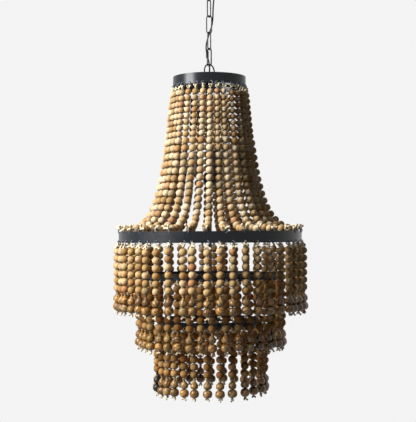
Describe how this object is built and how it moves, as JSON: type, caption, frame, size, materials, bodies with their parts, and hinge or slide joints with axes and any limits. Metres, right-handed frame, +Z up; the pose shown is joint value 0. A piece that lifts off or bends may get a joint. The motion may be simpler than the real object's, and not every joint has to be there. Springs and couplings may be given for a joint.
{
  "type": "beaded chandelier",
  "caption": "Pendant chandelier of wooden bead strings draped from a small steel band to a wide one, over three tiers of hanging bead strings, on a chain.",
  "frame": {"origin": "on the ceiling, over the middle of the lamp, on the upper face of the ceiling bracket", "axes": "+Z up, away from the lamp; -Y towards the side that the picture shows"},
  "size_m": [0.478, 0.478, 1.0778],
  "materials": {
    "natural_wood": "turned, unfinished",
    "varnished_wood": "turned, stained and varnished",
    "black_wood": "black varnish",
    "twine": "plain cotton twine",
    "black_steel": "satin black",
    "chain_steel": "blackened",
    "black_cable": "matt",
    "holder_plastic": "matt",
    "bulb_glass": "clear",
    "brass": "plain"
  },
  "bodies": {
    "ceiling_fitting": {"ceiling_bracket": "black_steel", "canopy": "black_steel", "canopy_loop": "black_steel", "cord_gland": "black_cable", "power_cord": "black_cable"},
    "chain_link_1": {"chain_link_1": "chain_steel"},
    "chain_link_2": {"chain_link_2": "chain_steel"},
    "chain_link_3": {"chain_link_3": "chain_steel"},
    "chain_link_4": {"chain_link_4": "chain_steel"},
    "quick_link": {"quick_link": "chain_steel"},
    "quick_link_sleeve": {"quick_link_sleeve": "chain_steel"},
    "lamp": {"hang_loop": "black_steel", "hang_loop_nut": "black_steel", "top_band": "black_steel", "top_spider": "black_steel", "frame_rod_1": "black_steel", "frame_rod_2": "black_steel", "frame_rod_3": "black_steel", "centre_rod": "black_steel", "middle_band": "black_steel", "middle_spider": "black_steel", "wiring_cup": "black_steel", "lamp_holder_1": "holder_plastic", "lamp_holder_2": "holder_plastic", "lamp_holder_3": "holder_plastic", "second_band": "black_steel", "second_spider": "black_steel", "third_band": "black_steel", "third_spider": "black_steel", "draped_strings_1": "natural_wood", "draped_strings_2": "natural_wood", "draped_strings_3": "natural_wood"},
    "bulb_1": {"bulb_1": "bulb_glass"},
    "bulb_2": {"bulb_2": "bulb_glass"},
    "bulb_3": {"bulb_3": "bulb_glass"},
    "first_tier_strings_1": {"first_tier_strings_1": "natural_wood"},
    "first_tier_strings_2": {"first_tier_strings_2": "natural_wood"},
    "first_tier_strings_3": {"first_tier_strings_3": "natural_wood"},
    "first_tier_strings_4": {"first_tier_strings_4": "natural_wood"},
    "first_tier_strings_5": {"first_tier_strings_5": "natural_wood"},
    "first_tier_strings_6": {"first_tier_strings_6": "natural_wood"},
    "first_tier_strings_7": {"first_tier_strings_7": "natural_wood"},
    "first_tier_strings_8": {"first_tier_strings_8": "natural_wood"},
    "second_tier_strings_1": {"second_tier_strings_1": "natural_wood"},
    "second_tier_strings_2": {"second_tier_strings_2": "natural_wood"},
    "second_tier_strings_3": {"second_tier_strings_3": "natural_wood"},
    "second_tier_strings_4": {"second_tier_strings_4": "natural_wood"},
    "second_tier_strings_5": {"second_tier_strings_5": "natural_wood"},
    "second_tier_strings_6": {"second_tier_strings_6": "natural_wood"},
    "second_tier_strings_7": {"second_tier_strings_7": "natural_wood"},
    "second_tier_strings_8": {"second_tier_strings_8": "natural_wood"},
    "third_tier_strings_1": {"third_tier_strings_1": "natural_wood"},
    "third_tier_strings_2": {"third_tier_strings_2": "natural_wood"},
    "third_tier_strings_3": {"third_tier_strings_3": "natural_wood"},
    "third_tier_strings_4": {"third_tier_strings_4": "natural_wood"},
    "third_tier_strings_5": {"third_tier_strings_5": "natural_wood"},
    "third_tier_strings_6": {"third_tier_strings_6": "natural_wood"},
    "third_tier_strings_7": {"third_tier_strings_7": "natural_wood"}
  },
  "joints": [
    {"name": "link_1_tilt", "type": "hinge", "parent": "ceiling_fitting", "child": "chain_link_1", "pos_m": [0, 0, -0.07], "axis": [0.9397, 0.342, 0], "range_deg": [-12, 12], "deforming": ["power_cord"]},
    {"name": "link_2_tilt", "type": "hinge", "parent": "chain_link_1", "child": "chain_link_2", "pos_m": [0, 0, -0.1102], "axis": [0.5, -0.866, 0], "range_deg": [-12, 12], "deforming": ["power_cord"]},
    {"name": "link_3_tilt", "type": "hinge", "parent": "chain_link_2", "child": "chain_link_3", "pos_m": [0, 0, -0.1509], "axis": [0.6428, 0.766, 0], "range_deg": [-12, 12], "deforming": ["power_cord"]},
    {"name": "link_4_tilt", "type": "hinge", "parent": "chain_link_3", "child": "chain_link_4", "pos_m": [0, 0, -0.1916], "axis": [0.9848, -0.1736, 0], "range_deg": [-12, 12], "deforming": ["power_cord"]},
    {"name": "quick_link_tilt", "type": "hinge", "parent": "chain_link_4", "child": "quick_link", "pos_m": [0, 0, -0.2323], "axis": [0.5736, 0.8192, 0], "range_deg": [-12, 12], "deforming": ["power_cord"]},
    {"name": "sleeve_unscrew", "type": "slide", "parent": "quick_link", "child": "quick_link_sleeve", "axis": [0, 0, -1], "range_m": [0, 0.012]},
    {"name": "lamp_swing", "type": "hinge", "parent": "quick_link", "child": "lamp", "pos_m": [0, 0, -0.27225], "axis": [0.766, -0.6428, 0], "range_deg": [-12, 12], "deforming": ["power_cord"]},
    {"name": "bulb_1_unscrew", "type": "slide", "parent": "lamp", "child": "bulb_1", "axis": [0, 0, 1], "range_m": [0, 0.03]},
    {"name": "bulb_2_unscrew", "type": "slide", "parent": "lamp", "child": "bulb_2", "axis": [0, 0, 1], "range_m": [0, 0.03]},
    {"name": "bulb_3_unscrew", "type": "slide", "parent": "lamp", "child": "bulb_3", "axis": [0, 0, 1], "range_m": [0, 0.03]},
    {"name": "first_tier_swing_1", "type": "hinge", "parent": "lamp", "child": "first_tier_strings_1", "pos_m": [-0.02208, -0.22316, -0.7042], "axis": [-0.9951, 0.0985, 0], "range_deg": [-2.5, 20]},
    {"name": "first_tier_swing_2", "type": "hinge", "parent": "lamp", "child": "first_tier_strings_2", "pos_m": [0.14219, -0.17341, -0.7042], "axis": [-0.7733, -0.6341, 0], "range_deg": [-2.5, 20]},
    {"name": "first_tier_swing_3", "type": "hinge", "parent": "lamp", "child": "first_tier_strings_3", "pos_m": [0.22316, -0.02208, -0.7042], "axis": [-0.0985, -0.9951, 0], "range_deg": [-2.5, 20]},
    {"name": "first_tier_swing_4", "type": "hinge", "parent": "lamp", "child": "first_tier_strings_4", "pos_m": [0.17341, 0.14219, -0.7042], "axis": [0.6341, -0.7733, 0], "range_deg": [-2.5, 20]},
    {"name": "first_tier_swing_5", "type": "hinge", "parent": "lamp", "child": "first_tier_strings_5", "pos_m": [0.02208, 0.22316, -0.7042], "axis": [0.9951, -0.0985, 0], "range_deg": [-2.5, 20]},
    {"name": "first_tier_swing_6", "type": "hinge", "parent": "lamp", "child": "first_tier_strings_6", "pos_m": [-0.14219, 0.17341, -0.7042], "axis": [0.7733, 0.6341, 0], "range_deg": [-2.5, 20]},
    {"name": "first_tier_swing_7", "type": "hinge", "parent": "lamp", "child": "first_tier_strings_7", "pos_m": [-0.22316, 0.02208, -0.7042], "axis": [0.0985, 0.9951, 0], "range_deg": [-2.5, 20]},
    {"name": "first_tier_swing_8", "type": "hinge", "parent": "lamp", "child": "first_tier_strings_8", "pos_m": [-0.17341, -0.14219, -0.7042], "axis": [-0.6341, 0.7733, 0], "range_deg": [-2.5, 20]},
    {"name": "second_tier_swing_1", "type": "hinge", "parent": "lamp", "child": "second_tier_strings_1", "pos_m": [-0.01968, -0.17011, -0.7942], "axis": [-0.9934, 0.1149, 0], "range_deg": [-2.5, 12]},
    {"name": "second_tier_swing_2", "type": "hinge", "parent": "lamp", "child": "second_tier_strings_2", "pos_m": [0.10637, -0.13421, -0.7942], "axis": [-0.7837, -0.6211, 0], "range_deg": [-2.5, 12]},
    {"name": "second_tier_swing_3", "type": "hinge", "parent": "lamp", "child": "second_tier_strings_3", "pos_m": [0.17011, -0.01968, -0.7942], "axis": [-0.1149, -0.9934, 0], "range_deg": [-2.5, 12]},
    {"name": "second_tier_swing_4", "type": "hinge", "parent": "lamp", "child": "second_tier_strings_4", "pos_m": [0.13421, 0.10637, -0.7942], "axis": [0.6211, -0.7837, 0], "range_deg": [-2.5, 12]},
    {"name": "second_tier_swing_5", "type": "hinge", "parent": "lamp", "child": "second_tier_strings_5", "pos_m": [0.01968, 0.17011, -0.7942], "axis": [0.9934, -0.1149, 0], "range_deg": [-2.5, 12]},
    {"name": "second_tier_swing_6", "type": "hinge", "parent": "lamp", "child": "second_tier_strings_6", "pos_m": [-0.10637, 0.13421, -0.7942], "axis": [0.7837, 0.6211, 0], "range_deg": [-2.5, 12]},
    {"name": "second_tier_swing_7", "type": "hinge", "parent": "lamp", "child": "second_tier_strings_7", "pos_m": [-0.17011, 0.01968, -0.7942], "axis": [0.1149, 0.9934, 0], "range_deg": [-2.5, 12]},
    {"name": "second_tier_swing_8", "type": "hinge", "parent": "lamp", "child": "second_tier_strings_8", "pos_m": [-0.13421, -0.10637, -0.7942], "axis": [-0.6211, 0.7837, 0], "range_deg": [-2.5, 12]},
    {"name": "third_tier_swing_1", "type": "hinge", "parent": "lamp", "child": "third_tier_strings_1", "pos_m": [-0.0169, -0.12663, -0.9091], "axis": [-0.9912, 0.1323, 0], "range_deg": [-2.5, 15]},
    {"name": "third_tier_swing_2", "type": "hinge", "parent": "lamp", "child": "third_tier_strings_2", "pos_m": [0.08847, -0.09216, -0.9091], "axis": [-0.7214, -0.6925, 0], "range_deg": [-2.5, 15]},
    {"name": "third_tier_swing_3", "type": "hinge", "parent": "lamp", "child": "third_tier_strings_3", "pos_m": [0.12721, 0.01171, -0.9091], "axis": [0.0916, -0.9958, 0], "range_deg": [-2.5, 15]},
    {"name": "third_tier_swing_4", "type": "hinge", "parent": "lamp", "child": "third_tier_strings_4", "pos_m": [0.07016, 0.10676, -0.9091], "axis": [0.8357, -0.5492, 0], "range_deg": [-2.5, 15]},
    {"name": "third_tier_swing_5", "type": "hinge", "parent": "lamp", "child": "third_tier_strings_5", "pos_m": [-0.03972, 0.12142, -0.9091], "axis": [0.9504, 0.3109, 0], "range_deg": [-2.5, 15]},
    {"name": "third_tier_swing_6", "type": "hinge", "parent": "lamp", "child": "third_tier_strings_6", "pos_m": [-0.11969, 0.04465, -0.9091], "axis": [0.3495, 0.9369, 0], "range_deg": [-2.5, 15]},
    {"name": "third_tier_swing_7", "type": "hinge", "parent": "lamp", "child": "third_tier_strings_7", "pos_m": [-0.10954, -0.06574, -0.9091], "axis": [-0.5146, 0.8574, 0], "range_deg": [-2.5, 15]}
  ]
}
